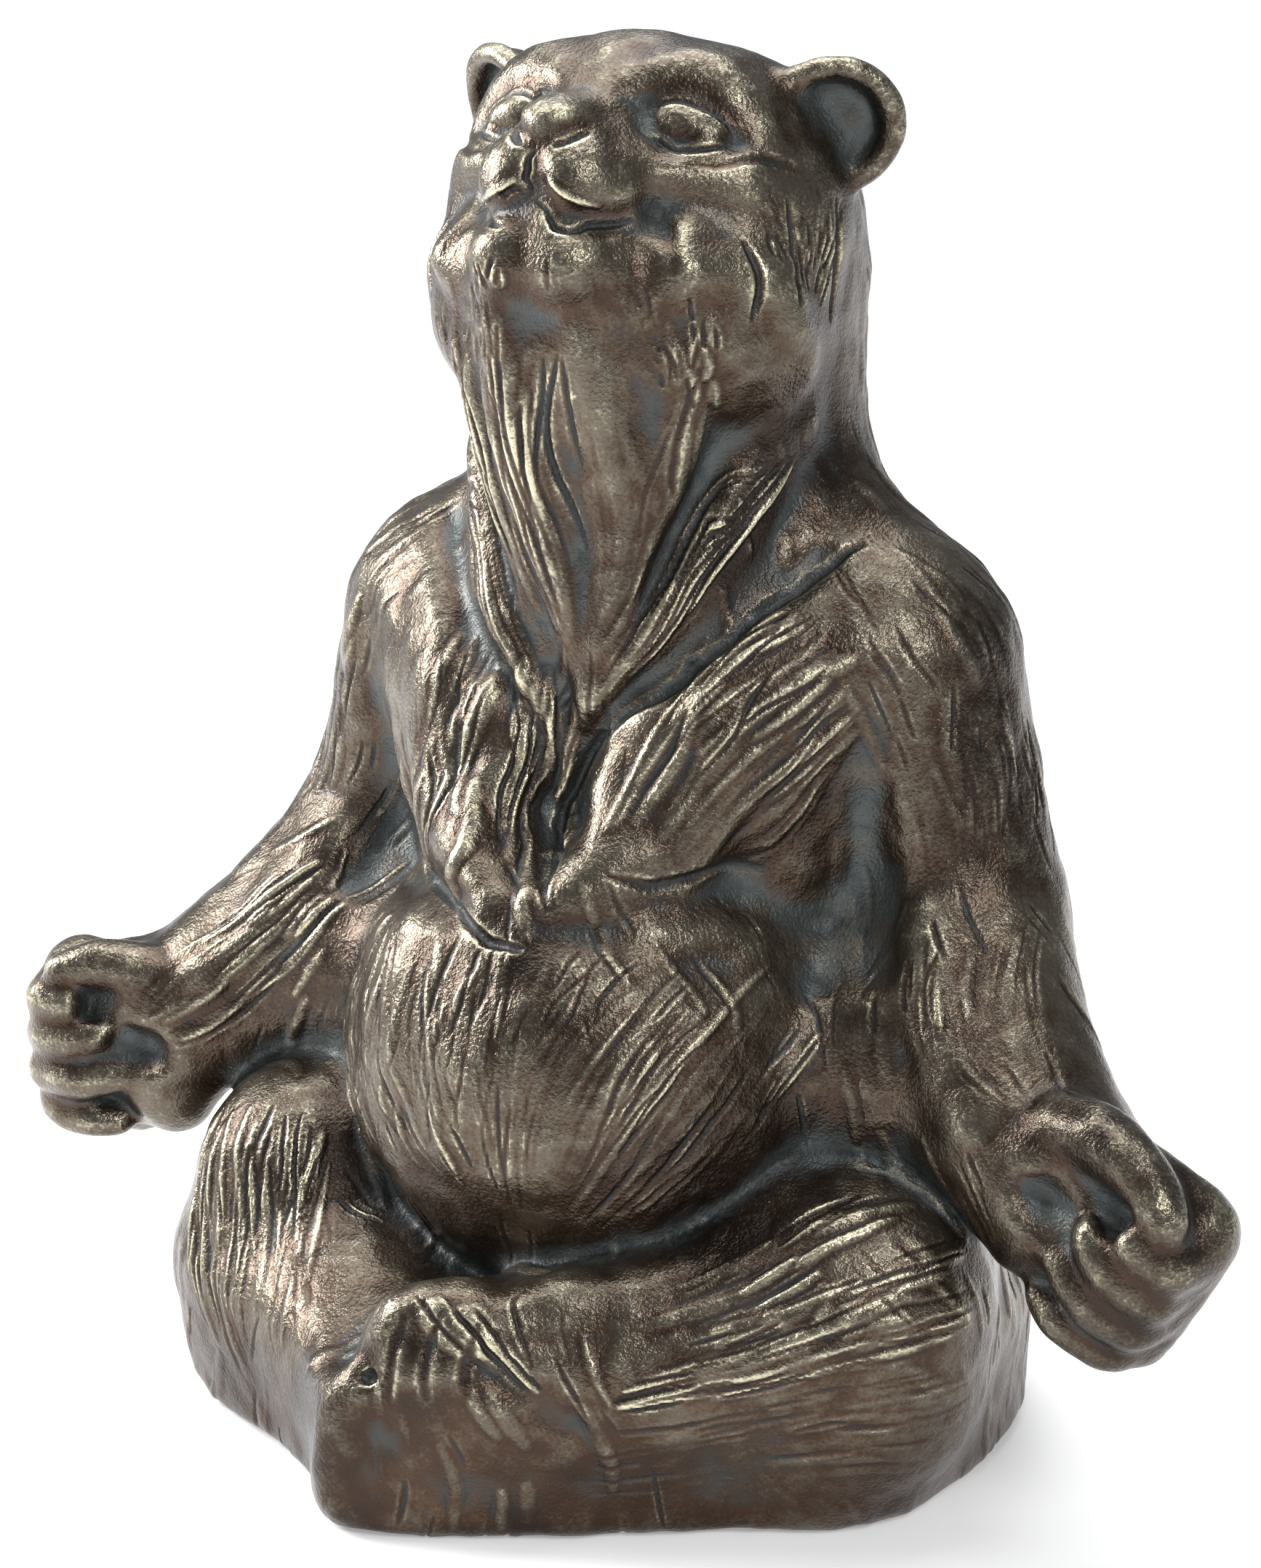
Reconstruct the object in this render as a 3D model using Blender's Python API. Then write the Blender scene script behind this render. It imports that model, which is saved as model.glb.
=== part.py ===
"""Garden statue of a bear sitting cross-legged in meditation, cast in one piece.

Metres, +Z up. The bear faces -Y and its left side is +X. The origin is on the flat
underside, below the middle of the body.

The statue is made as a sculptor builds it in clay: masses are laid over one another,
blended where they meet, then hollowed and scored. Their meshes are fused into one closed
skin, and every point of that skin is then drawn onto the blended surface.
"""
import math

import bmesh
import bpy
import numpy as np
from mathutils import Euler, Matrix

# Driving dimensions
BODY_SIZE = 0.100  # half the width across the hips
HEAD_SIZE = 0.100  # chin to crown
HEAD_PITCH = 28  # degrees that the face is raised
EAR_SIZE = 0.040  # across the rim
EAR_RIM = 0.0036  # radius of the rolled rim
EAR_PLATE = 0.005  # half the thickness of the ear
UPPER_ARM = 0.068  # shoulder to elbow
FOREARM = 0.072  # elbow to wrist
SHOULDER_RADIUS = 0.037
ELBOW_RADIUS = 0.028
WRIST_RADIUS = 0.025
HAND_SIZE = 0.060  # height of a fist
NEAR_HAND_DROOP = 28  # degrees that the left fist points down
FAR_HAND_RISE = 7  # degrees that the right fist points up
THIGH = 0.063  # hip to knee
SHIN = 0.095  # knee to ankle
HIP_RADIUS = 0.050
KNEE_RADIUS = 0.037
ANKLE_RADIUS = 0.025
NECK_RADIUS = 0.053
BASE_HEIGHT = 0.046
BASE_EDGE = 0.007  # rounding of the edge that the statue stands on

# Fineness of the skin
FIRST_VOXEL = 0.003
FINAL_VOXEL = 0.0018
GROUND_ROUNDING = 0.003
FLAT_WITHIN = 0.0012
TRIANGLES = 11700


def degrees(turn):
    """A turn about X, Y and Z, in degrees, as a 3 by 3 matrix."""
    return np.array(Euler([math.radians(a) for a in turn]).to_matrix())


def unit(*direction):
    return np.array(direction, float) / np.linalg.norm(direction)


class Ball:
    """An egg-shaped mass: its radii along its own turned axes."""

    def __init__(self, centre, radii, turn):
        self.centre = centre
        self.radii = radii
        self.turn = turn

    def reach(self):
        return self.centre, self.radii.max()

    def distance(self, points, limit):
        local = (points - self.centre) @ self.turn / self.radii
        scaled = np.linalg.norm(local, axis=1)
        slope = np.linalg.norm(local / self.radii, axis=1)
        return scaled * (scaled - 1) / np.maximum(slope, 1e-9)

    def add_to(self, mesh):
        place = Matrix.Translation(self.centre) @ Matrix(self.turn).to_4x4()
        place = place @ Matrix.Diagonal((*self.radii, 1))
        bmesh.ops.create_icosphere(mesh, subdivisions=3, radius=1, matrix=place)


class Limb:
    """A tapered mass with round ends."""

    def __init__(self, start, end, start_radius, end_radius):
        self.start = start
        self.end = end
        self.start_radius = start_radius
        self.end_radius = end_radius

    def reach(self):
        half = np.linalg.norm(self.end - self.start) / 2
        return (self.start + self.end) / 2, half + max(self.start_radius, self.end_radius)

    def distance(self, points, limit):
        axis = self.end - self.start
        length = np.linalg.norm(axis)
        axis = axis / length
        taper = (self.start_radius - self.end_radius) / length
        lean = taper / math.sqrt(max(1e-6, 1 - taper * taper))
        along = (points - self.start) @ axis
        away = np.linalg.norm(points - self.start - np.outer(along, axis), axis=1)
        seat = np.clip(along - away * lean, 0, length)
        return np.hypot(along - seat, away) - self.start_radius + taper * seat

    def add_to(self, mesh):
        hull = bmesh.new()
        for centre, radius in ((self.start, self.start_radius), (self.end, self.end_radius)):
            place = Matrix.Translation(centre)
            bmesh.ops.create_icosphere(hull, subdivisions=3, radius=radius, matrix=place)
        points = [v.co.copy() for v in hull.verts]
        hull.clear()
        bmesh.ops.convex_hull(hull, input=[hull.verts.new(p) for p in points])
        buried = [v for v in hull.verts if not v.link_faces]
        bmesh.ops.delete(hull, geom=buried, context="VERTS")
        data = bpy.data.meshes.new("limb")
        hull.to_mesh(data)
        hull.free()
        mesh.from_mesh(data)
        bpy.data.meshes.remove(data)


class Strand:
    """A smooth chain of limbs through points, with a radius at each point."""

    def __init__(self, points, radii, steps=4):
        places = np.linspace(0, len(points) - 1, (len(points) - 1) * steps + 1)
        course = np.stack([smooth_course(places, points[:, i]) for i in range(3)], axis=1)
        radii = smooth_course(places, radii)
        ends = list(zip(course, radii))
        self.limbs = [Limb(a[0], b[0], a[1], b[1]) for a, b in zip(ends, ends[1:])]
        self.middle = (course.min(0) + course.max(0)) / 2
        self.radius = np.linalg.norm(course - self.middle, axis=1).max() + radii.max()

    def reach(self):
        return self.middle, self.radius

    def distance(self, points, limit):
        nearest = limit + 1e-4
        for limb in self.limbs:
            centre, radius = limb.reach()
            near = np.linalg.norm(points - centre, axis=1) - radius < nearest
            if near.any():
                nearest[near] = np.minimum(nearest[near], limb.distance(points[near], None))
        return nearest

    def add_to(self, mesh):
        for limb in self.limbs:
            limb.add_to(mesh)


class Plinth:
    """A mass with upright walls over a plan outline, standing on the ground.

    The outline's points are joined by a smooth closed curve of radius over angle.
    """

    def __init__(self, outline, top, rounding):
        angles = np.arctan2(outline[:, 1], outline[:, 0])
        radii = np.hypot(outline[:, 0], outline[:, 1])
        self.angles = np.radians(np.arange(-180, 180, 2))
        self.radii = np.interp(self.angles, angles, radii, period=2 * math.pi)
        for _ in range(6):
            self.radii = (np.roll(self.radii, 1) + 2 * self.radii + np.roll(self.radii, -1)) / 4
        self.top = top
        self.rounding = rounding

    def reach(self):
        return np.array([0, 0, self.top / 2]), math.hypot(self.radii.max(), self.top)

    def distance(self, points, limit):
        angle = np.arctan2(points[:, 1], points[:, 0])
        wall = np.interp(angle, self.angles, self.radii, period=2 * math.pi)
        flat = np.hypot(points[:, 0], points[:, 1]) - wall + self.rounding
        upright = np.abs(points[:, 2] - self.top / 2) - self.top / 2 + self.rounding
        outside = np.hypot(np.maximum(flat, 0), np.maximum(upright, 0))
        return np.minimum(np.maximum(flat, upright), 0) + outside - self.rounding

    def add_to(self, mesh):
        plan = np.stack([np.cos(self.angles), np.sin(self.angles)], axis=1) * self.radii[:, None]
        face = mesh.faces.new([mesh.verts.new((x, y, 0)) for x, y in plan])
        raised = bmesh.ops.extrude_face_region(mesh, geom=[face])
        lifted = [v for v in raised["geom"] if isinstance(v, bmesh.types.BMVert)]
        bmesh.ops.translate(mesh, verts=lifted, vec=(0, 0, self.top))


def smooth_course(places, values):
    """Values read along a Catmull-Rom curve through the given ones."""
    values = np.concatenate([[2 * values[0] - values[1]], values, [2 * values[-1] - values[-2]]])
    index = np.minimum(places.astype(int), len(values) - 4)
    share = places - index
    a, b, c, d = (values[index + i] for i in range(4))
    curve = 1.5 * (b - c) + (d - a) / 2
    return b + share * ((c - a) / 2 + share * (a - 2.5 * b + 2 * c - d / 2 + share * curve))


def blended(first, second, blend):
    """The smaller of two distances, rounded where they are within blend of each other."""
    share = np.clip(0.5 + 0.5 * (second - first) / blend, 0, 1)
    return second + (first - second) * share - blend * share * (1 - share)


class Clay:
    """The statue's masses, in the order in which they are laid on, hollowed or scored."""

    def __init__(self):
        self.masses = []

    def lay(self, mass, blend, sign=1):
        """Lays a mass on (sign 1) or takes it away (sign -1)."""
        self.masses.append((mass, blend, sign))

    def distance(self, points):
        """How far each point lies outside the blended surface, negative inside."""
        field = np.ones(len(points))
        for mass, blend, sign in self.masses:
            centre, radius = mass.reach()
            limit = sign * field + blend
            near = np.linalg.norm(points - centre, axis=1) - radius < limit
            if near.any():
                other = mass.distance(points[near], limit[near])
                field[near] = sign * blended(sign * field[near], other, blend)
        return -blended(-field, points[:, 2], GROUND_ROUNDING)

    def slope(self, points, step=2e-5):
        """The distance at each point and its gradient."""
        base = self.distance(points)
        sides = [(self.distance(points + axis) - base) / step for axis in np.eye(3) * step]
        return base, np.stack(sides, axis=1)

    def settle(self, points, rounds=4, longest=0.004):
        """Moves points along the slope until they lie on the surface."""
        for _ in range(rounds):
            base, slope = self.slope(points)
            move = slope * (base / np.maximum((slope**2).sum(1), 0.05))[:, None]
            size = np.linalg.norm(move, axis=1)
            points = points - move * np.minimum(1, longest / np.maximum(size, 1e-9))[:, None]
        return points

    def fused(self):
        """One mesh of all the masses laid on, still overlapping."""
        mesh = bmesh.new()
        for mass, blend, sign in self.masses:
            if sign > 0:
                mass.add_to(mesh)
        bmesh.ops.recalc_face_normals(mesh, faces=mesh.faces)
        data = bpy.data.meshes.new("bear")
        mesh.to_mesh(data)
        mesh.free()
        return data


class Region:
    """A part of the body with its own place, turn and size.

    The places, radii and blends given to it are hundredths of its size.
    """

    def __init__(self, clay, origin, size, turn):
        self.clay = clay
        self.origin = origin
        self.scale = size / 100
        self.turn = turn

    def at(self, x, y, z):
        return self.origin + self.turn @ (np.array([x, y, z], float) * self.scale)

    def ball(self, centre, radii, blend, turn=(0, 0, 0), sign=1):
        mass = Ball(self.at(*centre), np.array(radii) * self.scale, self.turn @ degrees(turn))
        self.clay.lay(mass, blend * self.scale, sign)

    def limb(self, start, end, start_radius, end_radius, blend):
        start, end = self.at(*start), self.at(*end)
        mass = Limb(start, end, start_radius * self.scale, end_radius * self.scale)
        self.clay.lay(mass, blend * self.scale)

    def strand(self, points, radii, blend):
        points = np.array([self.at(*p) for p in points])
        self.clay.lay(Strand(points, np.array(radii) * self.scale), blend * self.scale)

    def ridge(self, points, radii, height, blend=4):
        """A lock of fur or a fold: it stands proud of the skin, the more the thicker it is."""
        self.stroke(points, radii, height, blend, 1)

    def groove(self, points, radii, depth, blend=3):
        """A furrow cut into the skin."""
        self.stroke(points, radii, depth, blend, -1)

    def stroke(self, points, radii, height, blend, sign):
        placed = self.clay.settle(np.array([self.at(*p) for p in points]), rounds=12)
        slope = self.clay.slope(placed)[1]
        outward = slope / np.linalg.norm(slope, axis=1)[:, None]
        radii = np.array(radii) * self.scale
        rise = height * self.scale * radii / radii.max()
        placed = placed + outward * (sign * (rise - radii))[:, None]
        self.clay.lay(Strand(placed, radii), blend * self.scale, sign)


def torso(body):
    """Hips, ribs, shoulders, the round belly and the flat chest."""
    body.ball((0, 24, 75), (102, 80, 78), 0.01)
    body.ball((0, 26, 185), (80, 62, 86), 30)
    body.ball((0, 34, 238), (72, 50, 42), 30)
    body.ball((0, -8, 118), (74, 80, 76), 6)
    for side in (-1, 1):
        body.ball((side * 38, -2, 206), (40, 32, 50), 12, turn=(8, 0, side * 14))
        body.limb((side * 38, 30, 260), (side * 68, 26, 230), 26, 33, 20)


def arm(clay, body, side):
    """Upper arm, forearm and the web of fur that joins the forearm to the waist."""
    blend = 10 * body.scale
    shoulder = body.at(side * 69, 25, 226)
    elbow = shoulder + UPPER_ARM * unit(side * 24, -1, -64)
    wrist = elbow + FOREARM * unit(side * 37, -36, -50)
    fist = wrist + HAND_SIZE * np.array([side * 0.57, -0.27, -0.32])
    clay.lay(Limb(shoulder, elbow, SHOULDER_RADIUS, ELBOW_RADIUS), blend)
    clay.lay(Limb(elbow, wrist, ELBOW_RADIUS, WRIST_RADIUS), blend)
    clay.lay(Limb(wrist, (wrist + fist) / 2, WRIST_RADIUS, WRIST_RADIUS), blend)
    body.ball((side * 85, 0, 122), (30, 30, 34), 20)
    body.ridge([(side * 98, -8, 164), (side * 110, -24, 140), (side * 124, -34, 122)], (11, 13, 8), 4)
    hand(clay, fist, side, math.radians(NEAR_HAND_DROOP if side > 0 else -FAR_HAND_RISE))


def hand(clay, centre, side, droop):
    """A loosely closed fist with the thumb on top and the palm to the front."""
    level = math.cos(droop)
    reach = unit(side * 0.99 * level, -0.13 * level, -math.sin(droop))
    up = unit(side * 8, -12, 99)
    up = unit(*(up - reach * (up @ reach)))
    palm = np.cross(reach, up) * side
    fist = Region(clay, centre, HAND_SIZE, np.stack([reach, up, palm], axis=1))
    fist.ball((-2, 0, -6), (38, 52, 25), 14)
    fist.ball((-36, -1, 6), (26, 37, 25), 14)
    fist.limb((25, 28, -6), (23, -34, -6), 22, 20, 8)
    fist.strand([(29, 26, 0), (32, 25, 17), (17, 29, 27)], (13, 13, 10), 5)
    fist.strand([(30, 6, 0), (31, 6, 19), (12, 11, 29), (-6, 17, 28)], (12, 12, 11, 8), 4)
    fist.strand([(29, -14, 0), (30, -14, 19), (6, -9, 29), (-16, -2, 26)], (12, 12, 12, 8), 4)
    fist.strand([(25, -33, -2), (25, -34, 15), (4, -35, 24), (-12, -34, 20)], (12, 12, 10, 8), 4)
    fist.strand([(-44, 34, 2), (-22, 46, 8), (3, 50, 14), (22, 44, 21)], (17, 16, 13, 10), 5)
    fist.ball((-28, 16, 34), (17, 12, 15), 8, sign=-1)


def legs(clay, body):
    """Thighs and knees, the far shin tucked behind, the near shin across the front."""
    blend = 8 * body.scale
    for side in (-1, 1):
        hip = body.at(side * 55, 25, 60)
        knee = hip + THIGH * unit(side * 33, -53, 2)
        clay.lay(Limb(hip, knee, HIP_RADIUS, KNEE_RADIUS), blend)
        clay.lay(Limb(knee, knee - (0, 0, KNEE_RADIUS / 2), KNEE_RADIUS, KNEE_RADIUS), blend)
    front = body.at(92, -36, 56)
    ankle = front + SHIN * unit(-82, -48, -10)
    clay.lay(Limb(front, ankle, KNEE_RADIUS * 0.82, ANKLE_RADIUS), blend)
    body.limb((-92, -36, 45), (-30, -72, 34), 34, 26, 8)


def foot(body):
    """The near foot, its sole turned out to the front, with the toes curled below."""
    body.ball((-8, -92, 36), (23, 20, 30), 6)
    body.ball((-4, -96, 56), (20, 14, 13), 6)
    body.ridge([(26, -86, 70), (12, -100, 62), (2, -108, 50)], (9, 10, 8), 4, 5)
    body.ridge([(4, -96, 72), (-10, -104, 64), (-18, -110, 54)], (9, 10, 8), 5, 4)
    body.ridge([(-10, -108, 52), (-19, -112, 43), (-24, -114, 35)], (8, 9, 8), 5, 4)
    body.ridge([(-24, -113, 32), (-26, -115, 22), (-26, -116, 11)], (8, 8, 7), 3, 5)
    body.groove([(18, -104, 54), (30, -98, 44), (42, -94, 36)], (3, 5, 3), 2, 7)
    body.ball((-15, -116, 51), (5, 6, 5), 3, sign=-1)


def base(clay, body):
    """The rounded block under the legs, which gives the statue its flat underside."""
    outline = [(-128, 10), (-129, -22), (-127, -50), (-101, -69), (-72, -80), (-47, -96), (-31, -120),
               (-9, -113), (16, -99), (42, -83), (67, -65), (90, -52), (103, -34), (110, -10), (112, 16),
               (107, 46), (95, 72), (74, 92), (42, 104), (0, 108), (-42, 104), (-78, 93), (-102, 74),
               (-119, 46)]
    plan = np.array(outline) * body.scale
    order = np.argsort(np.arctan2(plan[:, 1], plan[:, 0]))
    clay.lay(Plinth(plan[order], BASE_HEIGHT, BASE_EDGE), 20 * body.scale)


def neck(clay, body):
    clay.lay(Limb(body.at(0, 33, 250), body.at(0, 25, 325), NECK_RADIUS, NECK_RADIUS), 14 * body.scale)
    body.limb((0, 4, 250), (0, -10, 322), 36, 40, 14)


def coat(body):
    """The locks of fur that shape the throat, collar, chest, belly and shin."""
    for side in (-1, 1):
        collar = [(side * 51, 8, 298), (side * 45, -8, 277), (side * 37, -20, 258), (side * 26, -34, 240)]
        body.ridge([*collar, (side * 8, -38, 217)], (7, 8, 8, 7, 4), 4.5)
        lapel = [(side * 44, -2, 294), (side * 36, -14, 277), (side * 28, -29, 258), (side * 18, -36, 238)]
        body.ridge([*lapel, (side * 5, -39, 216)], (5, 6, 6, 5, 3), 4.5)
        fold = [(side * 60, 0, 262), (side * 46, -22, 248), (side * 34, -34, 236), (side * 24, -37, 227)]
        body.groove([*fold, (side * 12, -38, 215)], (4, 6, 6, 5, 4), 4, 5)
        body.groove([(side * 38, -20, 300), (side * 32, -24, 276), (side * 22, -32, 250)], (6, 6, 4), 3, 5)
        valley = [(side * 82, -8, 232), (side * 81, -11, 214), (side * 79, -9, 194), (side * 80, -8, 172)]
        body.groove([*valley, (side * 84, -16, 154)], (4, 7, 8, 7, 5), 4, 8)
        for lock, rise in (([(44, -30, 220), (46, -38, 200), (38, -46, 182)], 5.5),
                           ([(26, -36, 216), (27, -46, 196), (20, -58, 178)], 6),
                           ([(15, -38, 208), (16, -50, 190), (9, -64, 173)], 4.5)):
            body.ridge([(side * x, y, z) for x, y, z in lock], (9, 12, 8), rise, 6)
    body.ridge([(-13, -46, 326), (-11, -44, 300), (-5, -40, 270), (2, -38, 226)], (7, 8, 7, 3), 5, 5)
    body.ridge([(12, -46, 322), (18, -40, 294), (15, -36, 262), (6, -38, 224)], (7, 8, 6, 3), 4.5, 5)
    body.ridge([(32, -30, 318), (32, -26, 296), (25, -32, 268), (14, -37, 240)], (6, 7, 6, 3), 4, 5)
    body.ridge([(-32, -32, 314), (-27, -32, 290), (-19, -34, 262), (-8, -37, 236)], (6, 7, 6, 3), 4, 5)
    body.groove([(11, -38, 214), (3, -36, 203), (-1, -42, 190), (5, -58, 176)], (2, 4, 5, 2), 3, 6)
    waist = [(12, -68, 167), (28, -64, 164), (43, -58, 160), (60, -40, 156), (72, -22, 151)]
    body.groove(waist, (3, 5, 6, 6, 5), 2.5, 6)
    body.groove([(-14, -62, 168), (-36, -54, 168), (-56, -38, 166)], (4, 5, 5), 2.5, 6)
    body.ridge([(60, -34, 152), (38, -66, 132), (14, -82, 104)], (12, 14, 10), 1.2, 8)
    body.ridge([(38, -54, 158), (12, -78, 136), (-10, -84, 108)], (12, 14, 10), 1.2, 8)
    body.ridge([(-30, -62, 154), (-35, -72, 128), (-29, -74, 96)], (12, 14, 10), 1.2, 8)
    body.ridge([(-56, -44, 150), (-59, -50, 124), (-50, -56, 96)], (12, 14, 10), 1.2, 8)
    body.ridge([(112, -42, 88), (92, -58, 86), (70, -66, 78)], (12, 16, 10), 2.5, 8)
    body.ridge([(121, -44, 72), (104, -62, 69), (82, -76, 62)], (11, 14, 10), 2, 8)
    body.ridge([(70, -42, 94), (54, -66, 82), (34, -86, 72)], (8, 12, 8), 2, 6)


def skull(head):
    """Crown, muzzle and lower jaw, with the cheeks, brows, closed eyes and lips."""
    head.ball((0, 24, 6), (49, 50, 45), 12)
    head.limb((0, 14, 12), (0, -18, 21), 36, 24, 14)
    head.limb((0, -22, 0), (0, -42, -5), 27, 17, 14)
    for side in (-1, 1):
        head.limb((side * 15, -22, -30), (side * 9, -45, -31), 18, 12, 8)
        head.limb((side * 16, -30, -10), (side * 9, -50, -11), 15, 12, 8)
        head.ball((side * 30, 2, 14), (22, 30, 24), 14)
        head.ball((side * 22, -6, 27), (20, 25, 16), 15)
        head.ball((side * 36, 0, -8), (21, 28, 30), 12)
        head.ball((side * 34, 2, -33), (21, 28, 22), 10)
        head.ball((side * 26, -43, 17), (14, 12, 8), 5, sign=-1)
        head.ball((side * 27.5, -31, 13), (12.5, 8, 6.5), 2, turn=(0, side * 14, side * 27))
        head.limb((side * 20, -36, 1), (side * 44, -20, 2), 5, 6, 6)
        head.ball((side * 32, -31, -25), (8, 7, 10), 8)
        head.ball((side * 29, -42, -12), (5, 7, 8), 4, sign=-1)
    head.ball((0, -57, 2), (10.5, 8, 7), 5)
    head.ball((0, -48, 9), (9, 9, 5), 6)
    for side in (-1, 1):
        brow = [(side * 15, -40, 22), (side * 22, -38, 28), (side * 31, -34, 28), (side * 39, -27, 22)]
        head.ridge([*brow, (side * 44, -24, 15)], (6, 9, 9, 7, 5), 4, 4)
        crease = [(side * 17, -42, 10), (side * 25, -41, 6.5), (side * 33, -37, 6.5), (side * 40, -30, 11)]
        head.groove(crease, (2, 2.5, 2.5, 2), 2.5, 2)
        cheekbone = [(side * 24, -38, -3), (side * 34, -34, -1), (side * 43, -28, 2)]
        head.ridge(cheekbone, (3, 6, 5), 2.5, 5)
        jaw_line = [(side * 40, -33, -28), (side * 46, -28, -24), (side * 53, -16, -22)]
        head.ridge([*jaw_line, (side * 57, -3, -28), (side * 56, 12, -36)], (5, 6, 7, 7, 5), 3, 5)
        head.groove([(side * 6, -66, -4), (side * 9, -62, -1), (side * 11.5, -57, 2)], (2, 3, 2), 3, 2)
        mouth = [(0, -64, -21), (side * 10, -60, -24), (side * 19, -50, -22), (side * 26, -40, -15)]
        head.groove(mouth, (2.5, 3, 3, 3.5), 3, 3)
    head.groove([(0, -66, -7), (0, -65, -13), (0, -64, -20)], (1.5, 2.5, 3), 2.5, 3)


def ear(clay, body, side):
    """A cup on a thin plate, its rolled rim open towards the face."""
    cup = Region(clay, body.at(side * 50, 23, 377), EAR_SIZE, degrees((15, 0, side * 30)))
    radius = 50 - 100 * EAR_RIM / EAR_SIZE
    cup.ball((0, 8, 0), (radius, 100 * EAR_PLATE / EAR_SIZE, radius), 15)
    turns = [math.radians(a) for a in range(-85, 170, 25)]
    rim = np.array([cup.at(side * radius * math.cos(a), -9, radius * math.sin(a)) for a in turns])
    clay.lay(Strand(rim, np.full(len(rim), EAR_RIM)), EAR_RIM)


def sculpted():
    """The whole bear in clay."""
    clay = Clay()
    body = Region(clay, np.zeros(3), BODY_SIZE, np.eye(3))
    torso(body)
    for side in (-1, 1):
        arm(clay, body, side)
    legs(clay, body)
    base(clay, body)
    foot(body)
    neck(clay, body)
    coat(body)
    skull(Region(clay, body.at(0, 8, 350), HEAD_SIZE, degrees((-HEAD_PITCH, 0, 0))))
    for side in (-1, 1):
        ear(clay, body, side)
    return clay


def apply_modifiers(thing):
    graph = bpy.context.evaluated_depsgraph_get()
    graph.update()
    data = bpy.data.meshes.new_from_object(thing.evaluated_get(graph))
    thing.modifiers.clear()
    thing.data = data


def reskin(thing, voxel):
    """Gives the object one even closed skin."""
    skin = thing.modifiers.new("skin", "REMESH")
    skin.mode = "VOXEL"
    skin.voxel_size = voxel
    apply_modifiers(thing)


def points_of(data):
    flat = np.empty(len(data.vertices) * 3, np.float32)
    data.vertices.foreach_get("co", flat)
    return flat.reshape(-1, 3).astype(float)


def move_points(data, points):
    data.vertices.foreach_set("co", points.astype(np.float32).ravel())
    data.update()


def thin_out(thing):
    """Softens the skin a little and keeps triangles where the form turns."""
    soften = thing.modifiers.new("soften", "SMOOTH")
    soften.factor = 0.5
    soften.iterations = 2
    thin = thing.modifiers.new("thin", "DECIMATE")
    thin.ratio = TRIANGLES / sum(len(p.vertices) - 2 for p in thing.data.polygons)
    apply_modifiers(thing)


def bronze():
    """Dark brown bronze with a dull shine."""
    material = bpy.data.materials.new("patinated_bronze")
    material.use_nodes = True
    shader = material.node_tree.nodes["Principled BSDF"]
    shader.inputs["Base Color"].default_value = (0.11, 0.08, 0.055, 1)
    shader.inputs["Metallic"].default_value = 0.75
    shader.inputs["Roughness"].default_value = 0.45
    return material


for leftover in list(bpy.data.objects):
    bpy.data.objects.remove(leftover)

clay = sculpted()
bear = bpy.data.objects.new("bear_statue", clay.fused())
bpy.context.scene.collection.objects.link(bear)
for voxel in (FIRST_VOXEL, FINAL_VOXEL):
    reskin(bear, voxel)
    move_points(bear.data, clay.settle(points_of(bear.data)))
thin_out(bear)
standing = points_of(bear.data)
standing[standing[:, 2] < FLAT_WITHIN, 2] = 0
move_points(bear.data, standing)
bear.data.polygons.foreach_set("use_smooth", [True] * len(bear.data.polygons))
bear.data.materials.append(bronze())
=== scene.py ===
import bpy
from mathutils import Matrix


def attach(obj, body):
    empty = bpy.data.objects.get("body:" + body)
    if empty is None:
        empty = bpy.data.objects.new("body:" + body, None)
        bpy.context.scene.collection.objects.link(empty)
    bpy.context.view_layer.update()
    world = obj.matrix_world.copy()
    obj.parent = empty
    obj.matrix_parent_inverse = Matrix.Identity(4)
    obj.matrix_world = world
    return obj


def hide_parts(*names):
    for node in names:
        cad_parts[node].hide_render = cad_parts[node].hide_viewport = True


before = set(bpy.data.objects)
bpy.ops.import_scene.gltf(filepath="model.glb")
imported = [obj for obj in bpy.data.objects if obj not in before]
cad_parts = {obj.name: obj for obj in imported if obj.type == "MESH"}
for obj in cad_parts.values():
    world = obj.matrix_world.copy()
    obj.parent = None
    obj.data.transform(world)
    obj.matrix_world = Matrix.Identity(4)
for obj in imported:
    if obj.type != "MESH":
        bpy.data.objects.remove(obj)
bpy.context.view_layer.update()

import math
import random

import bpy
import numpy as np
from mathutils import Matrix, Vector, noise
from mathutils.kdtree import KDTree

bpy.ops.object.select_all(action="DESELECT")


# The camera stands a little above the statue and to its left, level with its chest, and looks
# at the middle of the body, as the photograph was taken.
CAMERA_AZIMUTH = math.radians(30)
CAMERA_HEIGHT_ANGLE = math.radians(15)
CAMERA_DISTANCE = 1.05
CAMERA_TARGET = Vector((0, 0, 0.190))
CAMERA_LENS = 84.68

level = CAMERA_DISTANCE * math.cos(CAMERA_HEIGHT_ANGLE)
offset = Vector((math.sin(CAMERA_AZIMUTH) * level, -math.cos(CAMERA_AZIMUTH) * level,
                 CAMERA_DISTANCE * math.sin(CAMERA_HEIGHT_ANGLE)))
bpy.ops.object.camera_add(location=CAMERA_TARGET + offset)
camera = bpy.context.object
camera.name = "camera"
camera.rotation_euler = (-offset).to_track_quat("-Z", "Y").to_euler()
camera.data.sensor_width = 36
camera.data.lens = CAMERA_LENS
camera.data.clip_start = 0.01
bpy.context.scene.camera = camera


# The skin of the statue is one bronze casting of a figure that was built up in clay. The clay
# was combed and scored with a wooden tool for the fur, and the casting kept every stroke.
FINE_VOXEL = 0.0008
SKIN_TRIANGLES = 760000
DEEPEST_MARK = 0.0026

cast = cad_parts["bear_statue"]
skin = bpy.data.objects.new("bronze_skin", cast.data.copy())
bpy.context.scene.collection.objects.link(skin)
skin.select_set(True)
bpy.context.view_layer.objects.active = skin


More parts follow.
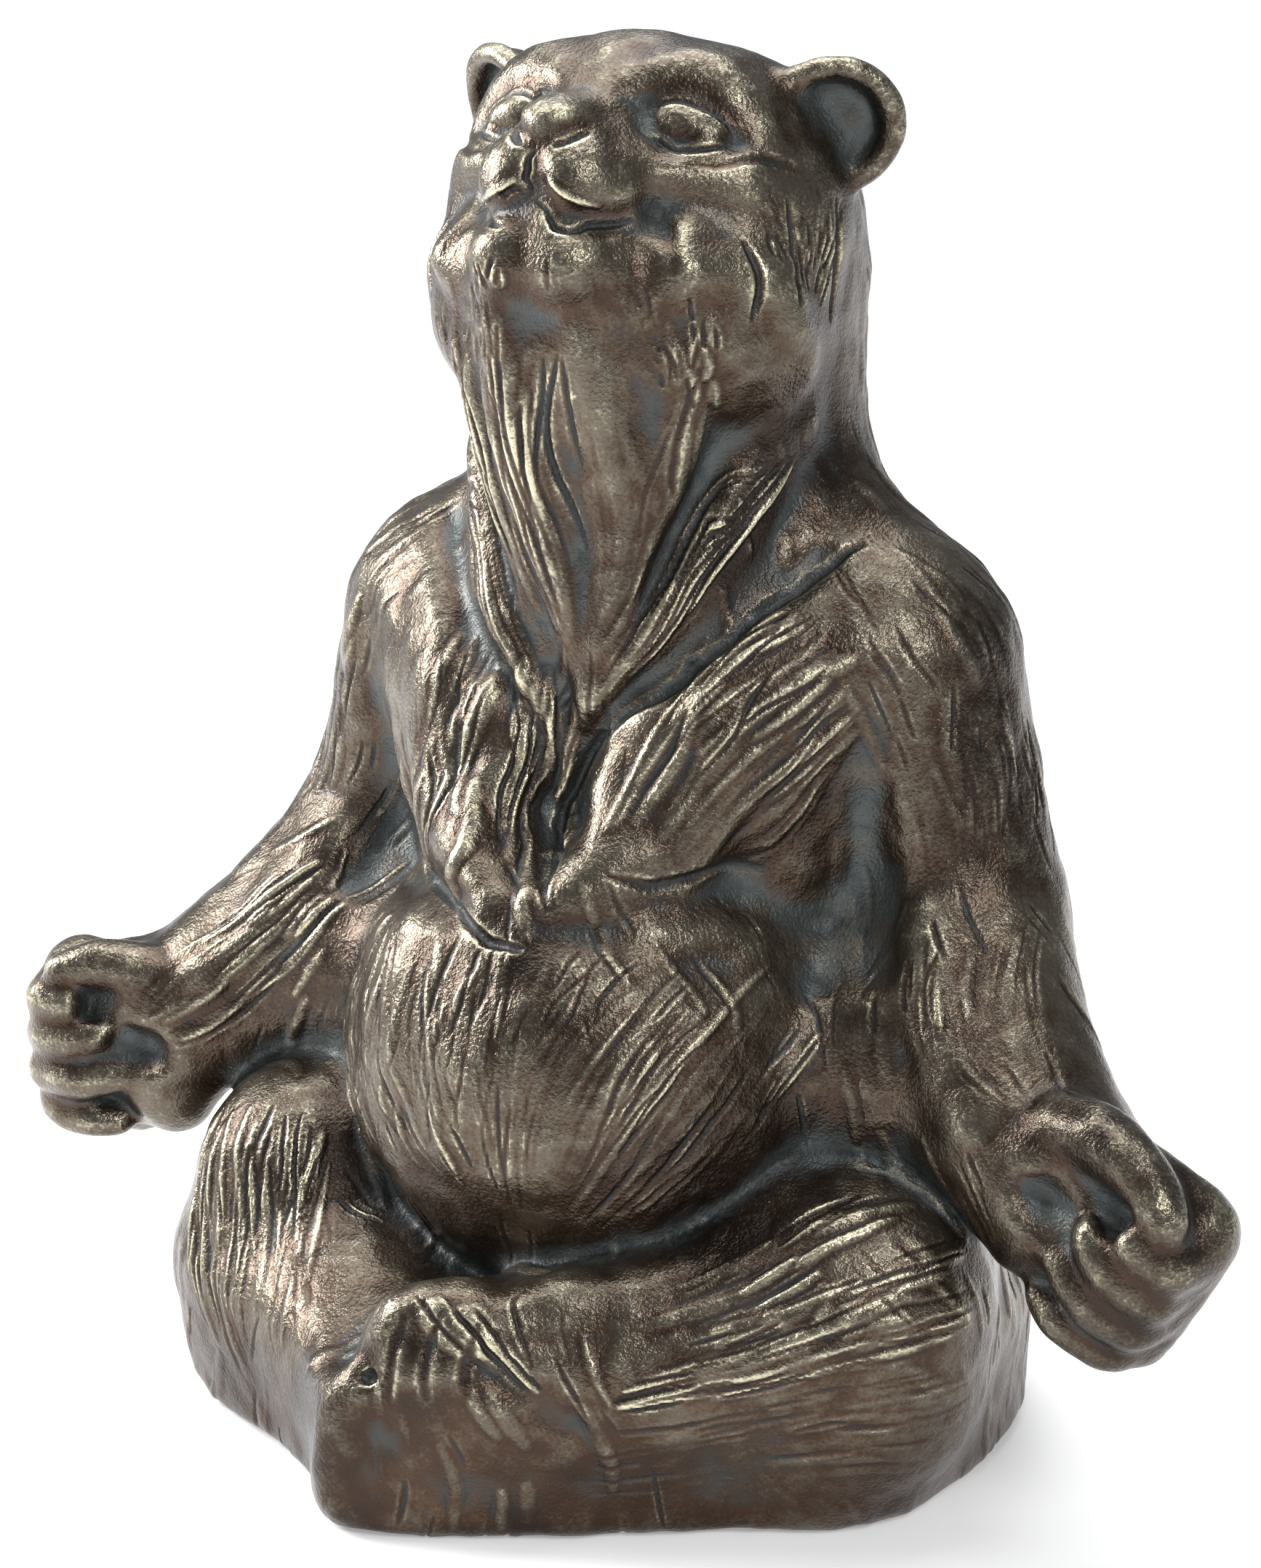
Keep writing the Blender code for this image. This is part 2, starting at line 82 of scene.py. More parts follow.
def finish_with(kind, **settings):
    """Adds a modifier to the skin and applies it."""
    bpy.ops.object.modifier_add(type=kind)
    modifier = skin.modifiers[-1]
    for name, setting in settings.items():
        setattr(modifier, name, setting)
    bpy.ops.object.modifier_apply(modifier=modifier.name)


def uneven(size, height):
    """Dents and swells of the hand-worked clay, about as wide as size."""
    texture = bpy.data.textures.new("uneven_clay", "CLOUDS")
    texture.noise_scale = size
    texture.noise_depth = 1
    finish_with("DISPLACE", texture=texture, texture_coords="LOCAL", strength=height, mid_level=0.5)


bpy.ops.object.mode_set(mode="EDIT")
bpy.ops.mesh.select_all(action="SELECT")
bpy.ops.mesh.remove_doubles(threshold=0.00001)
bpy.ops.object.mode_set(mode="OBJECT")
finish_with("SUBSURF", levels=1, render_levels=1)
finish_with("REMESH", mode="VOXEL", voxel_size=FINE_VOXEL)
finish_with("SMOOTH", factor=0.5, iterations=14)
uneven(0.016, 0.0016)
uneven(0.007, 0.0004)


def read_points():
    flat = np.empty(len(skin.data.vertices) * 3, np.float32)
    skin.data.vertices.foreach_get("co", flat)
    return flat.reshape(-1, 3).astype(float)


def read_normals():
    flat = np.empty(len(skin.data.vertices) * 3, np.float32)
    skin.data.vertex_normals.foreach_get("vector", flat)
    return flat.reshape(-1, 3).astype(float)


def smooth_course(points, places):
    """Points of a Catmull-Rom curve through the given ones, at places from 0 to 1 along it."""
    points = np.concatenate([[2 * points[0] - points[1]], points, [2 * points[-1] - points[-2]]])
    places = np.clip(places, 0, 1) * (len(points) - 3)
    index = np.minimum(places.astype(int), len(points) - 4)
    share = (places - index)[:, None]
    a, b, c, d = (points[index + i] for i in range(4))
    curve = 1.5 * (b - c) + (d - a) / 2
    return b + share * ((c - a) / 2 + share * (a - 2.5 * b + 2 * c - d / 2 + share * curve))


class Marks:
    """Strokes of the modelling tool. They are gathered first and pressed into the skin at once.

    The places and sizes given to it are in millimetres.
    """

    def __init__(self):
        self.points = read_points()
        self.normals = read_normals()
        self.raised = np.zeros(len(self.points))
        self.cut = np.zeros(len(self.points))
        self.chance = random.Random(7)
        self.near = KDTree(len(self.points))
        for index, point in enumerate(self.points):
            self.near.insert(point, index)
        self.near.balance()

    def on_skin(self, path):
        """The path laid onto the skin, and the skin's normal at each of its points."""
        laid = [skin.closest_point_on_mesh(Vector(point)) for point in path]
        return np.array([hit[1] for hit in laid]), np.array([hit[2] for hit in laid])

    def stroke(self, path, width, height, firm=False):
        """One stroke along the path: a lock where height is above 0, otherwise a furrow.

        The hand presses harder in some places than in others, unless the stroke is firm.
        """
        width, height = width / 1000, height / 1000
        path, outward = self.on_skin(path)
        found = {hit[1] for point in path for hit in self.near.find_range(point, width * 1.6 + 0.0012)}
        found = np.array(sorted(found))
        if not len(found):
            return
        start, run = path[:-1], np.diff(path, axis=0)
        away = self.points[found][:, None] - start
        share = np.clip((away * run).sum(2) / np.maximum((run**2).sum(1), 1e-12), 0, 1)
        distance = np.linalg.norm(away - share[..., None] * run, axis=2)
        nearest = distance.argmin(1)
        rows = np.arange(len(found))
        along = (nearest + share[rows, nearest]) / len(run)
        distance = distance[rows, nearest]
        facing = (self.normals[found] * outward[nearest]).sum(1) > 0.2
        middle = Vector(path[len(path) // 2])
        hand = 1 if firm else float(np.clip(0.65 + 1.2 * noise.noise(middle * 28), 0.12, 1.1))
        taper = np.sqrt(np.clip(4 * along * (1 - along), 0, 1))
        across = distance / (width * (0.35 + 0.65 * taper))
        depth = abs(height) * taper * facing * hand
        if height > 0:
            shape = np.clip(1 - across**2, 0, 1)
            self.raised[found] = np.maximum(self.raised[found], depth * shape)
        else:
            shape = np.clip(1 - across**2, 0, 1)**2
            lip = np.exp(-((across - 1.3) / 0.3)**2) * (width < 0.002)
            self.cut[found] = np.maximum(self.cut[found], depth * shape)
            self.raised[found] = np.maximum(self.raised[found], 0.15 * depth * lip)

    def comb(self, guides, count, width, height, shortest=0.3, longest=0.8):
        """Strokes side by side between the guides, which all run the way of the fur."""
        guides = np.array(guides, float) / 1000
        length = np.linalg.norm(np.diff(guides.mean(0), axis=0), axis=1).sum()
        for _ in range(count):
            share = self.chance.uniform(shortest, longest)
            first = self.chance.uniform(0, 1 - share)
            places = np.linspace(first, first + share, max(4, int(share * length / 0.0025)))
            sway = 0.03 * np.sin(places * self.chance.uniform(3, 9) + self.chance.uniform(0, 6))
            aside = np.clip(self.chance.random() + sway, 0, 1) * (len(guides) - 1)
            courses = np.array([smooth_course(guide, places) for guide in guides])
            lower = np.minimum(aside.astype(int), len(guides) - 2)
            step = np.arange(len(places))
            share = (aside - lower)[:, None]
            path = courses[lower, step] * (1 - share) + courses[lower + 1, step] * share
            size = self.chance.uniform(0.65, 1.3)
            self.stroke(path, width * size, height * self.chance.uniform(0.6, 1.25))

    def line(self, path, width, height):
        """A single stroke drawn on purpose."""
        path = np.array(path, float) / 1000
        length = np.linalg.norm(np.diff(path, axis=0), axis=1).sum()
        places = np.linspace(0, 1, max(5, int(length / 0.002)))
        self.stroke(smooth_course(path, places), width, height, firm=True)

    def scatter(self, count, lie, length, width, height, bare):
        """Short strokes all over, each along the lie of the fur, but not where bare says so."""
        for _ in range(count):
            index = self.chance.randrange(len(self.points))
            place, outward = self.points[index], self.normals[index]
            if self.raised[index] or self.cut[index] or bare(place * 1000):
                continue
            reach = self.chance.uniform(0.5, 1.3) * length / 1000
            path = [place]
            for _ in range(max(4, int(reach / 0.0025))):
                way = lie(path[-1], outward)
                path.append(path[-1] + way / np.linalg.norm(way) * 0.0025)
                _, spot, outward, _ = skin.closest_point_on_mesh(Vector(path[-1]))
                path[-1], outward = np.array(spot), np.array(outward)
            size = self.chance.uniform(0.6, 1.3)
            self.stroke(path, width * size, height * self.chance.uniform(0.4, 1.2))

    def press(self):
        """Moves the skin. The foot of the casting was filed flat, so nothing goes below it."""
        change = np.clip(self.raised - self.cut, -DEEPEST_MARK, DEEPEST_MARK)
        moved = self.points + self.normals * change[:, None]
        moved[:, 2] = np.maximum(moved[:, 2], 0)
        skin.data.vertices.foreach_set("co", moved.astype(np.float32).ravel())
        skin.data.update()


NEAR_BREAST = [
    [(44, -18, 250), (40, -34, 230), (26, -44, 202), (20, -56, 180)],
    [(61, -9, 252), (47, -24, 241), (32, -37, 220), (24, -50, 192)],
    [(80, -9, 233), (68, -21, 222), (54, -34, 204), (36, -48, 178)],
    [(88, -8, 218), (78, -20, 202), (66, -28, 186), (50, -38, 172)]]
FAR_BREAST = [
    [(-70, -8, 236), (-79, -4, 205), (-76, -8, 172)],
    [(-42, -26, 238), (-44, -38, 205), (-38, -44, 172)],
    [(-14, -35, 236), (-11, -38, 207), (-8, -54, 178)],
    [(4, -36, 222), (2, -38, 200), (6, -66, 170)]]
NEAR_COLLAR = [
    [(44, -6, 289), (34, -15, 277), (28, -30, 260), (21, -35, 243), (9, -39, 223)],
    [(53, 8, 291), (46, -8, 275), (38, -21, 258), (33, -33, 240), (16, -37, 222)]]
FAR_COLLAR = [
    [(-44, -6, 289), (-36, -15, 277), (-27, -30, 260), (-16, -36, 242), (-3, -38, 222)],
    [(-53, 8, 291), (-46, -8, 275), (-38, -21, 258), (-31, -33, 240), (-14, -37, 220)]]
THROAT = [
    [(-40, -24, 316), (-32, -30, 292), (-20, -36, 262), (-4, -38, 236)],
    [(-15, -53, 330), (-14, -46, 300), (-9, -41, 268), (2, -38, 236)],
    [(1, -50, 322), (-3, -46, 292), (2, -41, 262), (5, -38, 236)],
    [(23, -42, 317), (21, -42, 290), (17, -38, 261), (8, -38, 236)],
    [(45, -26, 313), (33, -22, 288), (26, -32, 262), (12, -38, 236)]]
BELLY = [
    [(-62, -36, 158), (-66, -44, 130), (-54, -54, 98)],
    [(-31, -69, 160), (-30, -79, 128), (-10, -85, 96)],
    [(10, -70, 165), (8, -86, 130), (10, -84, 90)],
    [(44, -54, 160), (26, -82, 134), (16, -84, 88)]]
BELLY_SIDE = [
    [(44, -54, 160), (26, -82, 134), (16, -84, 88)],
    [(66, -26, 155), (50, -64, 128), (26, -78, 86)],
    [(80, -28, 140), (66, -44, 112), (38, -68, 84)]]
FAR_THIGH = [
    [(-118, -42, 96), (-112, -62, 58), (-96, -74, 22)],
    [(-96, -50, 98), (-88, -68, 62), (-72, -82, 16)],
    [(-70, -50, 88), (-62, -72, 62), (-44, -94, 40)]]
NEAR_SHIN = [
    [(104, -28, 100), (89, -51, 96), (69, -67, 81), (47, -84, 70)],
    [(123, -32, 80), (109, -61, 79), (84, -75, 66), (51, -91, 54)],
    [(127, -35, 63), (108, -66, 60), (75, -79, 49), (44, -94, 42)]]
SHIN_WALL = [
    [(127, -35, 58), (108, -66, 55), (75, -79, 45), (40, -94, 38)],
    [(120, -25, 20), (105, -58, 22), (70, -69, 14), (30, -92, 12)]]
FOOT = [
    [(-10, -104, 70), (4, -108, 62), (20, -103, 50)],
    [(8, -102, 70), (20, -100, 60), (34, -98, 46)]]
NEAR_FOREARM = [
    [(96, -14, 164), (98, -24, 148), (106, -32, 133), (120, -38, 122)],
    [(116, -3, 165), (118, -19, 149), (124, -28, 137), (138, -34, 128)],
    [(123, 11, 168), (129, -6, 153), (141, -18, 138), (157, -34, 133)]]
FAR_FOREARM = [
    [(-100, -14, 160), (-119, -26, 143), (-138, -35, 129), (-147, -42, 121)],
    [(-84, -20, 147), (-98, -30, 128), (-118, -36, 108), (-138, -44, 96)]]
NEAR_UPPER_ARM = [
    [(98, 0, 232), (102, -2, 205), (104, -4, 178)],
    [(106, 20, 228), (112, 18, 200), (118, 10, 174)],
    [(106, 44, 222), (112, 44, 196), (118, 34, 172)]]
FAR_UPPER_ARM = [
    [(-82, -8, 226), (-92, -6, 198), (-100, -8, 170)],
    [(-100, 6, 226), (-106, 4, 198), (-113, 2, 172)],
    [(-106, 34, 222), (-112, 34, 196), (-120, 26, 172)]]
NEAR_SHOULDER = [
    [(58, -4, 262), (74, -10, 246), (88, -6, 226)],
    [(72, 8, 264), (92, 6, 248), (103, 8, 228)],
    [(70, 40, 264), (92, 42, 248), (104, 42, 226)]]
FAR_SHOULDER = [
    [(-58, -4, 262), (-72, -10, 246), (-84, -8, 226)],
    [(-70, 8, 264), (-90, 6, 248), (-101, 8, 228)],
    [(-70, 40, 264), (-92, 42, 248), (-104, 42, 226)]]

marks = Marks()
marks.comb(NEAR_BREAST, 30, 3.0, 2.0, 0.35, 0.85)
marks.comb(NEAR_BREAST, 44, 1.1, -1.2, 0.25, 0.7)
marks.comb(FAR_BREAST, 24, 3.2, 1.6, 0.5, 1.0)
marks.comb(FAR_BREAST, 40, 1.1, -1.1, 0.3, 0.9)
for collar in (NEAR_COLLAR, FAR_COLLAR):
    marks.comb(collar, 10, 2.2, 1.4, 0.5, 1.0)
    marks.comb(collar, 16, 1.0, -1.1, 0.4, 0.9)
marks.comb(THROAT, 16, 4.0, 2.0, 0.5, 1.0)
marks.comb(THROAT, 26, 1.4, -1.2, 0.2, 0.7)
marks.comb(BELLY, 36, 2.0, 0.9, 0.12, 0.4)
marks.comb(BELLY, 90, 1.0, -0.9, 0.12, 0.4)
marks.comb(BELLY_SIDE, 16, 2.4, 0.9, 0.3, 0.7)
marks.comb(BELLY_SIDE, 30, 1.1, -0.9, 0.15, 0.6)
marks.comb(FAR_THIGH, 28, 2.2, 1.0, 0.2, 0.6)
marks.comb(FAR_THIGH, 54, 1.1, -1.0, 0.15, 0.5)
marks.comb(NEAR_SHIN, 34, 2.4, 1.3, 0.12, 0.4)
marks.comb(NEAR_SHIN, 56, 1.0, -1.0, 0.1, 0.35)
marks.comb(SHIN_WALL, 20, 2.4, 0.5, 0.1, 0.35)
marks.comb(SHIN_WALL, 30, 1.2, -0.6, 0.1, 0.3)
marks.comb(FOOT, 9, 2.8, 1.2, 0.3, 0.9)
marks.comb(FOOT, 10, 1.2, -1.0, 0.25, 0.7)
for arm in (NEAR_FOREARM, FAR_FOREARM):
    marks.comb(arm, 24, 2.4, 1.2, 0.2, 0.6)
    marks.comb(arm, 44, 1.0, -1.0, 0.15, 0.5)
for arm in (NEAR_UPPER_ARM, FAR_UPPER_ARM):
    marks.comb(arm, 14, 2.6, 0.8, 0.2, 0.6)
    marks.comb(arm, 22, 1.1, -0.8, 0.1, 0.4)
for shoulder in (NEAR_SHOULDER, FAR_SHOULDER):
    marks.comb(shoulder, 8, 2.6, 0.5, 0.3, 0.8)
    marks.comb(shoulder, 10, 1.1, -0.5, 0.2, 0.6)


def lie(place, outward):
    """The way that the fur lies: down the body, outwards on the limbs and back over the head."""
    way = np.array([place[0] * 4, 0.25, -1.0]) if place[2] < 0.32 else np.array([0, 1.0, -0.7])
    way = way + 0.7 * np.array(noise.noise_vector(Vector(place) * 22))
    return way - outward * (way @ outward)


def bare(place):
    """The nose, the lips, the inside of the ears, the palms and the underside have no fur."""
    head = place[2] > 312 and place[1] < 40
    fists = abs(place[0]) > 128 and 70 < place[2] < 150
    return head or fists or place[2] < 4


marks.scatter(620, lie, 28, 2.6, 0.9, bare)
marks.scatter(900, lie, 20, 1.1, -0.8, bare)

# The folds and creases that the sculptor drew on purpose: where the coat laps over the breast,
# the ragged locks below it, the closed lids, the lips, the cheeks and the toes.
lap = [(10, -38, 214), (24, -37, 227), (34, -34, 236), (45, -26, 246), (58, -6, 259), (70, 8, 268)]
marks.line(lap, 3.4, -2.4)
marks.line([(12, -37, 216), (4, -33, 204), (-1, -40, 190), (6, -58, 182), (12, -66, 172)], 2.8, -2.4)
marks.line([(-76, -5, 172), (-58, -24, 174), (-40, -40, 170), (-26, -54, 168), (-16, -62, 166)], 3.0, -2.0)
marks.line([(-16, -60, 166), (-4, -68, 160), (8, -70, 160)], 2.6, -2.0)
tips = [
    [(-60, -22, 196), (-62, -24, 182), (-56, -28, 168)], [(-40, -38, 200), (-40, -42, 184), (-34, -48, 167)],
    [(-22, -44, 198), (-20, -52, 182), (-16, -60, 166)], [(-4, -46, 190), (2, -58, 178), (8, -70, 163)]]
for tip in tips:
    marks.line(tip, 3.6, 1.5)
marks.line([(24, -55, 180), (35, -48, 178), (47, -38, 180), (58, -26, 178)], 2.6, -1.2)
marks.line([(-17, -118, 52), (-15, -118, 50), (-14, -118, 48)], 3.6, -2.0)
toes = [
    [(-7, -108, 66), (-8, -117, 55), (-8, -118, 42)], [(3, -106, 68), (2, -115, 56), (3, -116, 44)],
    [(13, -103, 66), (13, -111, 56), (14, -113, 46)]]
for toe in toes:
    marks.line(toe, 2.6, -1.0)
HEAD_PLACE = np.array([0, 8, 350])
HEAD_TILT = np.array(Matrix.Rotation(math.radians(-28), 3, "X"))


def on_head(path, side=1):
    """Points given along the head's own axes, for its left side or mirrored for its right one."""
    return np.array([HEAD_PLACE + HEAD_TILT @ (side * x, y, z) for x, y, z in path])


for side in (-1, 1):
    marks.line(on_head([(17, -42, 9), (25, -40, 6.5), (33, -36, 6), (40, -30, 10)], side), 1.3, -1.3)
    marks.line(on_head([(16, -42, 15), (24, -40, 19), (32, -36, 18), (39, -29, 13)], side), 1.2, -0.9)
    marks.line(on_head([(30, -36, 0), (40, -31, 3), (47, -23, 9), (52, -14, 10)], side), 2.4, -0.8)
    marks.line(on_head([(5, -66, -5), (9, -62, -2), (12, -57, 1)], side), 1.6, -1.8)
    marks.line(on_head([(0, -64, -21), (10, -60, -24), (19, -50, -22), (25, -42, -17)], side), 1.4, -1.3)
    marks.line(on_head([(2, -65, -17), (11, -61, -20), (19, -52, -19)], side), 1.5, 0.8)
    cheek = [on_head([(42, -28, 0), (48, -20, -10), (52, -14, -22)], side),
             on_head([(55, 4, 14), (57, 6, -2), (57, 6, -20)], side)]
    marks.comb(cheek, 30, 1.1, -1.3, 0.15, 0.35)
    marks.comb(cheek, 16, 1.8, 0.9, 0.15, 0.35)
    chin = [on_head([(6, -56, -34), (8, -48, -46), (10, -38, -60)], side),
            on_head([(26, -44, -34), (28, -36, -48), (30, -26, -62)], side),
            on_head([(46, -30, -36), (48, -20, -50), (48, -8, -62)], side)]
    marks.comb(chin, 34, 2.6, 0.8, 0.15, 0.45)
    marks.comb(chin, 34, 1.2, -0.9, 0.1, 0.35)
    ruffs = [
        [(52, -8, 359), (55, -8, 346), (58, -11, 331)], [(56, 14, 358), (58, 12, 342), (55, 12, 324)],
        [(47, -22, 350), (50, -20, 338), (49, -22, 328)]]
    for ruff in ruffs:
        marks.line([(side * x, y, z) for x, y, z in ruff], 2.0, -1.4)
    marks.line([(side * x, y, z) for x, y, z in [(25, -31, 360), (33, -37, 350), (36, -38, 341)]], 3.6, -0.7)
    brow = [on_head([(14, -42, 20), (22, -40, 29), (32, -32, 32)], side),
            on_head([(24, -38, 22), (34, -32, 27), (44, -20, 26)], side)]
    marks.comb(brow, 10, 1.3, 0.5, 0.3, 0.6)
marks.line(on_head([(0, -66, -8), (0, -65, -13), (0, -64, -20)]), 1.3, -1.4)
marks.press()
finish_with("SMOOTH", factor=0.25, iterations=1)
finish_with("DECIMATE", ratio=SKIN_TRIANGLES / sum(len(p.vertices) - 2 for p in skin.data.polygons))
bpy.ops.object.shade_smooth()


# The patina was brushed on hot and rubbed back: it stays dark and grey-green in the hollows,
# and the metal shows golden where hands and cloths have worn the ridges. The narrow grooves
# also carry painted shade, darkened almost to black.
def relief(rounds):
    """How far each point stands proud of the skin when that is smoothed, in millimetres."""
    softened = skin.modifiers.new("softened", "SMOOTH")
    softened.factor = 0.5
    softened.iterations = rounds
    shape = skin.evaluated_get(bpy.context.evaluated_depsgraph_get()).data
    flat = np.empty(len(shape.vertices) * 3, np.float32)
    shape.vertices.foreach_get("co", flat)
    skin.modifiers.remove(softened)
    return ((read_points() - flat.reshape(-1, 3)) * read_normals()).sum(1) * 1000


for name, rounds in (("fine_relief", 12), ("fur_relief", 60), ("form_relief", 450)):
    heights = relief(rounds)
    layer = skin.data.attributes.new(name, "FLOAT", "POINT")
    layer.data.foreach_set("value", heights.astype(np.float32))


class Shade:
    """A value of the material. Python's operators on it add Math nodes."""

    def __init__(self, tree, output=None):
        self.tree = tree
        self.output = output

    def node(self, kind, settings, inputs, output=0):
        """Adds a node, with its settings first and then the value or link of each socket."""
        made = self.tree.nodes.new("ShaderNode" + kind)
        for name, setting in settings.items():
            setattr(made, name, setting)
        for name, given in inputs.items():
            if isinstance(given, Shade):
                self.tree.links.new(given.output, made.inputs[name])
            else:
                made.inputs[name].default_value = given
        return Shade(self.tree, made.outputs[output])

    def maths(self, operation, first, second, clamp=False):
        return self.node("Math", {"operation": operation, "use_clamp": clamp}, {0: first, 1: second})

    def __add__(self, other):
        return self.maths("ADD", self, other)

    __radd__ = __add__

    def __mul__(self, other):
        return self.maths("MULTIPLY", self, other)

    __rmul__ = __mul__

    def __sub__(self, other):
        return self.maths("SUBTRACT", self, other)

    def __rsub__(self, other):
        return self.maths("SUBTRACT", other, self)

    def between(self, low, high):
        """0 where it is low, 1 where it is high, and smooth between."""
        ranges = {"From Min": low, "From Max": high}
        return self.node("MapRange", {"interpolation_type": "SMOOTHSTEP"}, {"Value": self, **ranges})

    def mixed(self, first, second):
        """The first colour where it is 0, the second where it is 1."""
        colours = {"Factor": self, 6: first, 7: second}
        return self.node("Mix", {"data_type": "RGBA"}, colours, 2)

    def attribute(self, name):
        return self.node("Attribute", {"attribute_name": name}, {}, "Fac")

    def noise(self, where, scale, detail=4.0, roughness=0.55):
        inputs = {"Vector": where, "Scale": scale, "Detail": detail, "Roughness": roughness}
        return self.node("TexNoise", {}, inputs)


bronze = bpy.data.materials.new("patinated_bronze")
bronze.use_nodes = True
surface = bronze.node_tree.nodes["Principled BSDF"]
patina = Shade(bronze.node_tree)
place = patina.node("TexCoord", {}, {}, "Object")
height_above_ground = patina.node("SeparateXYZ", {}, {"Vector": place}, "Z")
outward = patina.node("NewGeometry", {}, {}, "Normal")
upward = patina.node("SeparateXYZ", {}, {"Vector": outward}, "Z")
fine = patina.attribute("fine_relief")
fur = patina.attribute("fur_relief")
form = patina.attribute("form_relief")
cloud = patina.noise(place, 16.0)
mottle = patina.noise(place, 90.0, 5.0, 0.6)
sand = patina.noise(place, 900.0, 2.0, 0.6)

umber = (0.024, 0.018, 0.015, 1)
russet = (0.070, 0.038, 0.022, 1)
mid_brown = (0.122, 0.107, 0.082, 1)
gold = (0.52, 0.475, 0.34, 1)
slate = (0.060, 0.069, 0.068, 1)
dark_patina_and_shade = (0.006, 0.006, 0.006, 1)
patchy = (cloud - 0.5) * 1.8 + (mottle - 0.5) * 0.6
# Faces that turn up, and parts more than a few centimetres above the ground, are made lighter and more
# golden; faces that turn down and the lowest band are made darker.
up_facing_and_raised = height_above_ground.between(0.0, 0.07) * 0.7 + upward.between(-0.7, 0.5) * 0.8 - 1.0
hollow = patchy * 0.25 - form * 0.30 - fur * 0.5
colour = (patchy + 0.5).between(0.0, 1.0).mixed(umber, russet)
colour = hollow.between(0.0, 0.7).mixed(colour, slate)
rubbed = (fur * 0.9 + fine * 1.8 + patchy * 1.1 + up_facing_and_raised * 0.4 + (sand - 0.5) * 1.0).between(-0.2, 0.8)
colour = (rubbed * 0.9).mixed(colour, mid_brown)
worn = (fine * 3.6 + fur * 0.5 + patchy * 0.35 + up_facing_and_raised * 0.4 + (sand - 0.5) * 1.4).between(0.5, 1.5)
colour = worn.mixed(colour, gold)
# Partly the dark patina left in the fur grooves and partly painted shade: the narrow grooves are darkened
# almost to black, as shade falls in them.
crevice = (fine * -5.0 - fur * 0.8).between(0.3, 1.3)
colour = (crevice * 0.85).mixed(colour, dark_patina_and_shade)
links = bronze.node_tree.links
links.new(colour.output, surface.inputs["Base Color"])
metal = 0.84 + worn * 0.14 - crevice * 0.4 - hollow.between(0.0, 0.7) * 0.25
links.new(metal.output, surface.inputs["Metallic"])
dulled = hollow.between(-0.2, 0.8) * 0.10 + crevice * 0.1
links.new((0.28 + dulled + (mottle - 0.5) * 0.25).output, surface.inputs["Roughness"])
height = sand * 0.8 + mottle * 1.2
bump = patina.node("Bump", {}, {"Height": height, "Strength": 0.6, "Distance": 0.0007})
links.new(bump.output, surface.inputs["Normal"])

skin.data.materials.clear()
skin.data.materials.append(bronze)


# The casting is one skin, but it is kept as seven pieces that meet edge to edge, so that each
# stays light. They share the shading of the whole skin, so no line shows where they meet.
shading = skin.data.attributes.new("shading", "FLOAT_VECTOR", "POINT")
shading.data.foreach_set("vector", read_normals().astype(np.float32).ravel())


def part_off(name, belongs):
    """Separates the faces whose middles belong to the named piece."""
    middles = np.empty(len(skin.data.polygons) * 3, np.float32)
    skin.data.polygons.foreach_get("center", middles)
    chosen = belongs(*middles.reshape(-1, 3).T)
    bpy.ops.object.select_all(action="DESELECT")
    skin.select_set(True)
    bpy.context.view_layer.objects.active = skin
    bpy.ops.object.mode_set(mode="EDIT")
    bpy.ops.mesh.select_mode(type="FACE")
    bpy.ops.mesh.select_all(action="DESELECT")
    bpy.ops.object.mode_set(mode="OBJECT")
    skin.data.polygons.foreach_set("select", chosen)
    bpy.ops.object.mode_set(mode="EDIT")
    bpy.ops.mesh.separate(type="SELECTED")
    bpy.ops.object.mode_set(mode="OBJECT")
    piece = next(thing for thing in bpy.context.selected_objects if thing is not skin)
    piece.name = name
    return piece


pieces = [
    part_off("bronze_head", lambda x, y, z: z > 0.290),
    part_off("bronze_left_arm", lambda x, y, z: (x > 0.083) & ((z > 0.108) | (x > 0.130))),
    part_off("bronze_right_arm", lambda x, y, z: (x < -0.083) & ((z > 0.108) | (x < -0.130))),
    part_off("bronze_back", lambda x, y, z: (y > 0.02) & (z > 0.108)),
    part_off("bronze_front", lambda x, y, z: z > 0.108),
    part_off("bronze_left_leg", lambda x, y, z: x > 0), skin]
skin.name = "bronze_right_leg"
for piece in pieces:
    normals = np.empty(len(piece.data.vertices) * 3, np.float32)
    piece.data.attributes["shading"].data.foreach_get("vector", normals)
    piece.data.normals_split_custom_set_from_vertices(normals.reshape(-1, 3))
    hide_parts("bear_statue")
    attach(piece, "root")


